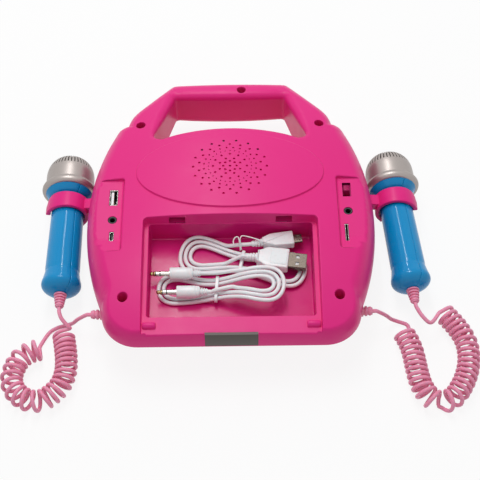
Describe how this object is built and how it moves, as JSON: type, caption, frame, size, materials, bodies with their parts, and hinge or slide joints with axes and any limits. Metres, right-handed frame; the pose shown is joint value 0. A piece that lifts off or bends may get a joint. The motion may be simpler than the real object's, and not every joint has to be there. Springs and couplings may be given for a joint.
{
  "type": "portable karaoke speaker",
  "caption": "Portable karaoke speaker with a carry handle, side-clipped wired microphones on curly cords and a rear storage tray with spare cables.",
  "frame": {"origin": "on the resting surface, below the middle of the casing with its microphones", "axes": "+Z out of the back, which faces up as the object lies on its front rim; +Y towards the carry handle; +X to the right, seen from above with the handle up"},
  "size_m": [0.3347, 0.2691, 0.068],
  "materials": {
    "pink_shell": "moulded satin gloss",
    "black_plastic": "moulded matt",
    "ring_diffuser": "milky",
    "circuit_board": "solder mask",
    "battery_sleeve": "shrink sleeve",
    "steel": "nickel plated",
    "white_plastic": "moulded",
    "white_cable": "soft jacket",
    "label_film": "printed film, bare",
    "cord_pink": "soft jacket",
    "mic_blue": "gloss",
    "head_silver": "satin silver paint on moulded plastic"
  },
  "bodies": {
    "casing": {"back_shell": "pink_shell", "front_shell": "pink_shell", "rear_speaker": "black_plastic", "front_grille": "black_plastic", "front_speaker": "black_plastic", "light_ring": "ring_diffuser", "main_board": "circuit_board", "battery_pack": "battery_sleeve", "casing_screws": "steel", "port_board_left": "circuit_board", "port_board_right": "circuit_board", "usb_socket": "steel", "usb_socket_tongue": "white_plastic", "micro_usb_socket": "steel", "jack_left": "black_plastic", "jack_right": "black_plastic", "card_socket": "steel", "switch_housing": "black_plastic", "rating_label": "label_film", "mic_clip_left": "pink_shell", "mic_clip_right": "pink_shell", "cord_grommet_left": "cord_pink", "cord_grommet_right": "cord_pink", "cord_coil_left": "cord_pink", "casing_lead_left": "cord_pink", "cord_coil_right": "cord_pink", "casing_lead_right": "cord_pink"},
    "power_switch": {"switch_knob": "black_plastic"},
    "push_play": {"button_play": "white_plastic"},
    "push_previous": {"button_previous": "white_plastic"},
    "push_next": {"button_next": "white_plastic"},
    "push_mode": {"button_mode": "white_plastic"},
    "push_volume_down": {"button_volume_down": "white_plastic"},
    "push_volume_up": {"button_volume_up": "white_plastic"},
    "microphone_left": {"mic_head_left": "head_silver", "mic_rim_left": "head_silver", "mic_handle_inner_left": "mic_blue", "mic_handle_outer_left": "mic_blue", "mic_capsule_left": "black_plastic", "mic_grommet_left": "cord_pink", "mic_lead_left": "cord_pink"},
    "talk_switch_left": {"mic_switch_left": "mic_blue"},
    "microphone_right": {"mic_head_right": "head_silver", "mic_rim_right": "head_silver", "mic_handle_inner_right": "mic_blue", "mic_handle_outer_right": "mic_blue", "mic_capsule_right": "black_plastic", "mic_grommet_right": "cord_pink", "mic_lead_right": "cord_pink"},
    "talk_switch_right": {"mic_switch_right": "mic_blue"},
    "charging_cable": {"usb_cable": "white_cable", "usb_plug_body": "white_plastic", "usb_plug_shell": "steel", "micro_plug_body": "white_plastic", "micro_plug_shell": "steel", "usb_tie": "white_plastic"},
    "audio_cable": {"aux_cable": "white_cable", "aux_plug_bodies": "white_plastic", "aux_plug_pins": "steel", "aux_tie": "white_plastic"}
  },
  "joints": [
    {"name": "power_switch_slide", "type": "slide", "parent": "casing", "child": "power_switch", "axis": [0, -1, 0], "range_m": [0, 0.004]},
    {"name": "play_press", "type": "slide", "parent": "casing", "child": "push_play", "axis": [0, 0, 1], "range_m": [0, 0.0012], "stiffness_N_per_m": 600},
    {"name": "previous_press", "type": "slide", "parent": "casing", "child": "push_previous", "axis": [0, 0, 1], "range_m": [0, 0.0012], "stiffness_N_per_m": 600},
    {"name": "next_press", "type": "slide", "parent": "casing", "child": "push_next", "axis": [0, 0, 1], "range_m": [0, 0.0012], "stiffness_N_per_m": 600},
    {"name": "mode_press", "type": "slide", "parent": "casing", "child": "push_mode", "axis": [0, 0, 1], "range_m": [0, 0.0012], "stiffness_N_per_m": 600},
    {"name": "volume_down_press", "type": "slide", "parent": "casing", "child": "push_volume_down", "axis": [0, 0, 1], "range_m": [0, 0.0012], "stiffness_N_per_m": 600},
    {"name": "volume_up_press", "type": "slide", "parent": "casing", "child": "push_volume_up", "axis": [0, 0, 1], "range_m": [0, 0.0012], "stiffness_N_per_m": 600},
    {"name": "microphone_left_pull", "type": "slide", "parent": "casing", "child": "microphone_left", "axis": [0, 1, 0], "range_m": [0, 0.042], "deforming": ["mic_lead_left"]},
    {"name": "talk_switch_left_slide", "type": "slide", "parent": "microphone_left", "child": "talk_switch_left", "axis": [0, 1, 0], "range_m": [0, 0.003]},
    {"name": "microphone_right_pull", "type": "slide", "parent": "casing", "child": "microphone_right", "axis": [-0.0785, 0.9969, 0], "range_m": [0, 0.042], "deforming": ["mic_lead_right"]},
    {"name": "talk_switch_right_slide", "type": "slide", "parent": "microphone_right", "child": "talk_switch_right", "axis": [-0.0785, 0.9969, 0], "range_m": [0, 0.003]},
    {"name": "charging_cable_lift", "type": "slide", "parent": "casing", "child": "charging_cable", "axis": [0, 0, 1], "range_m": [0, 0.05]},
    {"name": "audio_cable_lift", "type": "slide", "parent": "charging_cable", "child": "audio_cable", "axis": [0, 0, 1], "range_m": [0, 0.05]}
  ]
}
